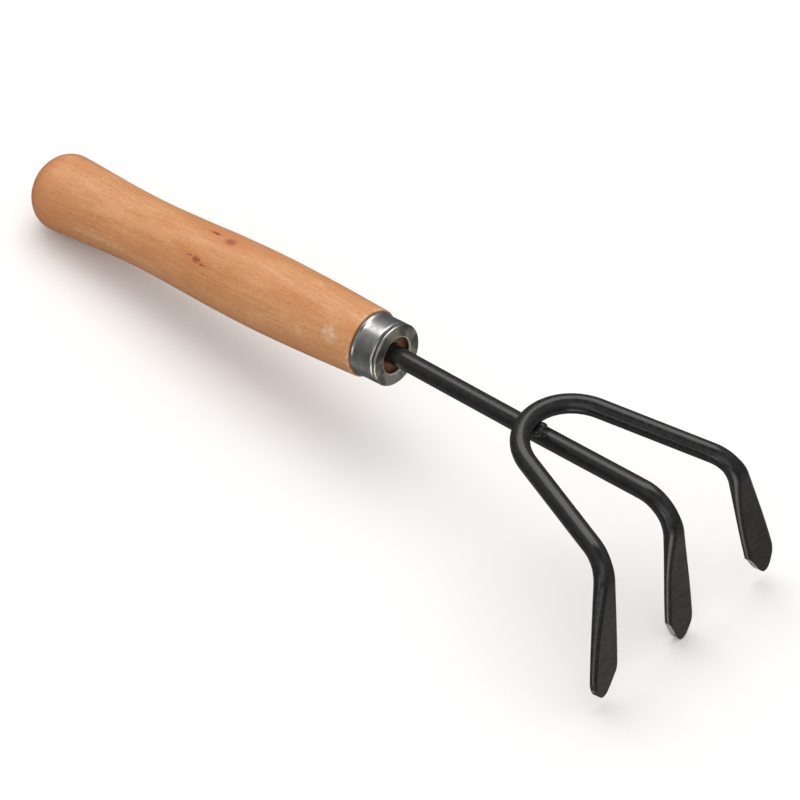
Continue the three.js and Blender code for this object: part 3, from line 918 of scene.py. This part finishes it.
def build_centre_rod(paint, bare):
    arm = sloping_down(SHANK_DROOP - WELD_KINK)
    corner = WELD_POINT + arm * CENTRE_ARM_LENGTH
    tip = corner + DOWN * CENTRE_TINE_LENGTH
    bend = stations_of_bend(corner, arm, DOWN, CENTRE_BEND_RADIUS)
    stations = stations_of_line(-SHANK * TANG_LENGTH, WELD_POINT - SHANK * KINK_REACH, ARM_STEP)
    stations += stations_of_line(WELD_POINT + arm * KINK_REACH, bend[0]["point"], ARM_STEP)[:-1]
    stations += bend + stations_of_tine(bend[-1]["point"], tip)
    press_blade(stations, np.linalg.norm(tip - bend[-1]["point"]))
    add_frames(stations, ACROSS)
    rod = rod_object("centre_rod", stations)
    rod.data.materials.append(paint)
    shear_point(rod, point_die(tip, DOWN, stations[-1]["across"], EVEN_POINT), bare)
    soften_cut(rod)
    settle(rod, "centre_tine_rod")


FORK_FORWARD = sloping_down(FORK_PITCH)
BOW_CENTRE = WELD_POINT + SHANK_UP * FORK_HEIGHT + FORK_FORWARD * FORK_BOW_RADIUS


def bow_station(angle):
    """A place on the bow, at an angle from its rearmost point towards +y."""
    outwards = -FORK_FORWARD * math.cos(angle) + ACROSS * math.sin(angle)
    along = FORK_FORWARD * math.sin(angle) + ACROSS * math.cos(angle)
    return station(BOW_CENTRE + outwards * FORK_BOW_RADIUS, along)


def half_fork(thinning_length):
    """Stations of the +y half, from the middle of the bow to the tip, and the tip."""
    splay = math.radians(FORK_SPLAY)
    bow_end = math.pi / 2 - splay
    steps = math.ceil(math.degrees(bow_end) / BEND_STEP)
    stations = [bow_station(angle) for angle in np.linspace(0, bow_end, steps + 1)]
    arm = FORK_FORWARD * math.cos(splay) + ACROSS * math.sin(splay)
    spread = math.sin(math.radians(OUTER_TINE_SPREAD))
    lean = math.sin(math.radians(OUTER_TINE_LEAN))
    tine = unit(np.array([lean, spread, -1.0]))
    corner = stations[-1]["point"] + arm * FORK_ARM_LENGTH
    bend = stations_of_bend(corner, arm, tine, OUTER_BEND_RADIUS)
    stations += stations_of_line(stations[-1]["point"], bend[0]["point"], ARM_STEP)[1:-1]
    tip = corner + tine * OUTER_TINE_LENGTH
    stations += bend + stations_of_tine(bend[-1]["point"], tip)
    press_blade(stations, np.linalg.norm(tip - bend[-1]["point"]), thinning_length)
    add_frames(stations, ACROSS)
    return stations, tip


def mirrored_station(item):
    made = dict(item, along=-item["along"] * MIRROR)
    for key in ("point", "across", "through"):
        made[key] = item[key] * MIRROR
    return made


def build_outer_rod(paint, bare, painted_over):
    stations, tip = half_fork(BLADE_THINNING_LENGTH)
    skewed, _ = half_fork(SKEWED_THINNING_LENGTH)
    other = [mirrored_station(item) for item in reversed(skewed[1:])]
    rod = rod_object("outer_rod", other + stations)
    rod.data.materials.append(paint)
    along = stations[-1]["along"]
    across = stations[-1]["across"]
    shear_point(rod, point_die(tip, along, across, EVEN_POINT), bare)
    mirrored_die = point_die(tip * MIRROR, along * MIRROR, -across * MIRROR, SKEWED_POINT)
    shear_point(rod, mirrored_die, painted_over)
    soften_cut(rod)
    settle(rod, "outer_tines_rod")


# ------------------------------------------------------------------ weld

def weld_lumps():
    """The separate lumps, before they are melted together."""
    work = bmesh.new()
    for along, across, up, radius in WELD_LUMPS:
        place = WELD_POINT + SHANK * along + ACROSS * across + SHANK_UP * up
        where = Matrix.Translation(Vector(to_row(place)))
        bmesh.ops.create_icosphere(work, subdivisions=4, radius=radius * MM, matrix=where)
    mesh = bpy.data.meshes.new("weld")
    work.to_mesh(mesh)
    work.free()
    return add_to_scene("weld", mesh)


def build_weld(paint):
    weld = weld_lumps()
    melt = weld.modifiers.new("join", "REMESH")
    melt.mode = "VOXEL"
    melt.voxel_size = WELD_GRAIN * MM
    clouds = bpy.data.textures.new("weld_ripples", "CLOUDS")
    clouds.noise_scale = WELD_RIPPLE_SPACING * MM
    ripples = weld.modifiers.new("ripples", "DISPLACE")
    ripples.texture = clouds
    ripples.texture_coords = "LOCAL"
    ripples.strength = WELD_RIPPLE_HEIGHT * MM
    ripples.mid_level = 0.62
    weld.modifiers.new("smooth", "SMOOTH").iterations = 3
    apply_modifiers(weld)
    weld.data.polygons.foreach_set("use_smooth", [True] * len(weld.data.polygons))
    store_places(weld.data, to_tool([v.co for v in weld.data.vertices]))
    weld.data.materials.append(paint)
    settle(weld, "weld_bead")


# ------------------------------------------------------------------ floor, world, lights and camera

FLOOR_HALF_SIZE = 12.0  # metres
FLOOR_SEEN = (0.98, 0.98, 0.98)
FLOOR_BOUNCED = (0.52, 0.52, 0.52)  # darker for bounced light, so that undersides stay dark


def build_floor():
    edge = FLOOR_HALF_SIZE
    mesh = bpy.data.meshes.new("floor")
    corners = [(-edge, -edge, 0), (edge, -edge, 0), (edge, edge, 0), (-edge, edge, 0)]
    mesh.from_pydata(corners, [], [(0, 1, 2, 3)])
    g = material_graph("floor")
    seen = g.node("ShaderNodeLightPath").outputs["Is Camera Ray"]
    colour = g.mix(seen, FLOOR_BOUNCED, FLOOR_SEEN)
    mesh.materials.append(g.surface(Base_Color=colour, Roughness=0.9, Specular_IOR_Level=0.1))
    floor = add_to_scene("floor", mesh)
    floor.visible_glossy = False


# What shiny surfaces see besides the lights: a dim room whose brightness depends on height (the
# upwards part of the direction, then brightness) and drops to a dark patch right overhead, and two
# soft-edged bright cards. A card's widths are its half-widths in degrees where it begins and ends to
# fade, and low and high are the elevations between which its lower and its upper edge fade.
ROOM_BRIGHTNESS = ((-1.0, 0.08), (-0.75, 0.27), (-0.45, 0.15), (-0.15, 0.11), (0.9, 0.34), (0.902, 0.05))
CARDS = (
    {"azimuth": -77.0, "widths": (4.0, 12.0), "low": (-12.0, -4.0), "high": (8.0, 18.0), "bright": 2.2},
    {"azimuth": -40.0, "widths": (8.0, 22.0), "low": (-48.0, -34.0), "high": (-16.0, -6.0), "bright": 2.4},
)
ROOM_LIGHT = (0.76, 0.752, 0.741)
BACKDROP = (0.97, 0.97, 0.97)


def grey(level):
    return (level, level, level)


def room_mirrored(g, height):
    """The room's brightness at a height, as shiny surfaces see it."""
    share = g.times(g.plus(height, 1.0), 0.5)
    ramp = g.node("ShaderNodeValToRGB", {"Fac": share})
    ramp.color_ramp.interpolation = "EASE"
    stops = ramp.color_ramp.elements
    stops.remove(stops[1])
    for index, (level, brightness) in enumerate(ROOM_BRIGHTNESS):
        stop = stops.new((level + 1) / 2) if index else stops[0]
        stop.color = (*grey(brightness), 1.0)
    return ramp.outputs["Color"]


def sines(angles):
    return [math.sin(math.radians(angle)) for angle in angles]


def card_mask(g, direction, height, card):
    """1 inside a card and 0 away from it."""
    azimuth = math.radians(card["azimuth"])
    towards = g.dot(direction, (math.cos(azimuth), math.sin(azimuth), 0.0))
    aside = g.math("ABSOLUTE", g.dot(direction, (-math.sin(azimuth), math.cos(azimuth), 0.0)))
    inner, outer = sines(card["widths"])
    low_start, low_end = sines(card["low"])
    high_start, high_end = sines(card["high"])
    mask = g.times(g.smooth(aside, outer, inner), g.smooth(towards, 0.0, 0.2))
    mask = g.times(mask, g.smooth(height, low_start, low_end))
    return g.times(mask, g.smooth(height, high_end, high_start))


def build_world():
    """Soft even light, with its own look in reflections and a white backdrop for the camera."""
    world = bpy.data.worlds.new("studio")
    bpy.context.scene.world = world
    world.cycles.sampling_method = "NONE"
    g = Graph(world)
    path = g.node("ShaderNodeLightPath").outputs
    direction = g.node("ShaderNodeTexCoord").outputs["Generated"]
    height = g.components(direction)["Z"]
    mirrored = room_mirrored(g, height)
    for card in CARDS:
        mirrored = g.mix(card_mask(g, direction, height, card), mirrored, grey(card["bright"]))
    lit = g.mix(path["Is Glossy Ray"], ROOM_LIGHT, mirrored)
    colour = g.mix(path["Is Camera Ray"], lit, BACKDROP)
    background = g.node("ShaderNodeBackground", {"Color": colour, "Strength": 1.0})
    g.node("ShaderNodeOutputWorld", {"Surface": background.outputs[0]})


def area_light(name, direction, distance, size, energy, colour=(1, 1, 1)):
    """A soft rectangular light shining at the middle of the object from a direction in the row frame."""
    data = bpy.data.lights.new(name, "AREA")
    data.shape = "RECTANGLE"
    data.size, data.size_y = size
    data.energy = energy
    data.color = colour
    lamp = add_to_scene(name, data)
    towards = Vector(direction).normalized()
    lamp.location = towards * distance
    lamp.rotation_euler = towards.to_track_quat("Z", "Y").to_euler()
    lamp.visible_camera = False


def build_lights():
    area_light(
        "overhead", direction=(-0.36, 0.26, 0.89), distance=1.6, size=(1.6, 1.1), energy=11.0,
        colour=(1.0, 0.99, 0.97),
    )
    area_light("front_fill", direction=(0.75, -0.75, 0.55), distance=2.2, size=(1.6, 1.6), energy=5.0)


# The camera stands far off with a long lens. Its directions are in the tool's frame.
CAMERA_DISTANCE = 2.5
CAMERA_BACK = (0.5554, -0.5623, 0.6127)
CAMERA_UP = (-0.3711, 0.4917, 0.7877)
CAMERA_LENS = 351.75
SENSOR_WIDTH = 36.0
CLIP_NEAR_AND_FAR = (0.05, 60.0)
# Where the tool's origin falls from the middle of the picture, as shares of its width
ORIGIN_RIGHT = -0.0037
ORIGIN_DOWN = -0.0553


def build_camera():
    back = unit(np.array(CAMERA_BACK) @ TOOL_AXES)
    right = unit(np.cross(np.array(CAMERA_UP) @ TOOL_AXES, back))
    up = np.cross(back, right)
    width = CAMERA_DISTANCE * SENSOR_WIDTH / CAMERA_LENS
    place = TOOL_ORIGIN + back * CAMERA_DISTANCE
    place = place - right * ORIGIN_RIGHT * width + up * ORIGIN_DOWN * width
    data = bpy.data.cameras.new("camera")
    data.lens = CAMERA_LENS
    data.sensor_width = SENSOR_WIDTH
    data.clip_start, data.clip_end = CLIP_NEAR_AND_FAR
    camera = add_to_scene("camera", data)
    matrix = Matrix((right, up, back)).transposed().to_4x4()
    matrix.translation = Vector(place)
    camera.matrix_world = matrix
    bpy.context.scene.camera = camera


# ------------------------------------------------------------------ the scene

paint = black_paint()
bare = sheared_steel("bare_shear", painted=0.36)
painted_over = sheared_steel("painted_shear", painted=0.62)
build_handle()
build_ferrule()
build_centre_rod(paint, bare)
build_outer_rod(paint, bare, painted_over)
build_weld(paint)
build_floor()
build_world()
build_lights()
build_camera()
bpy.context.scene.view_settings.view_transform = "Standard"
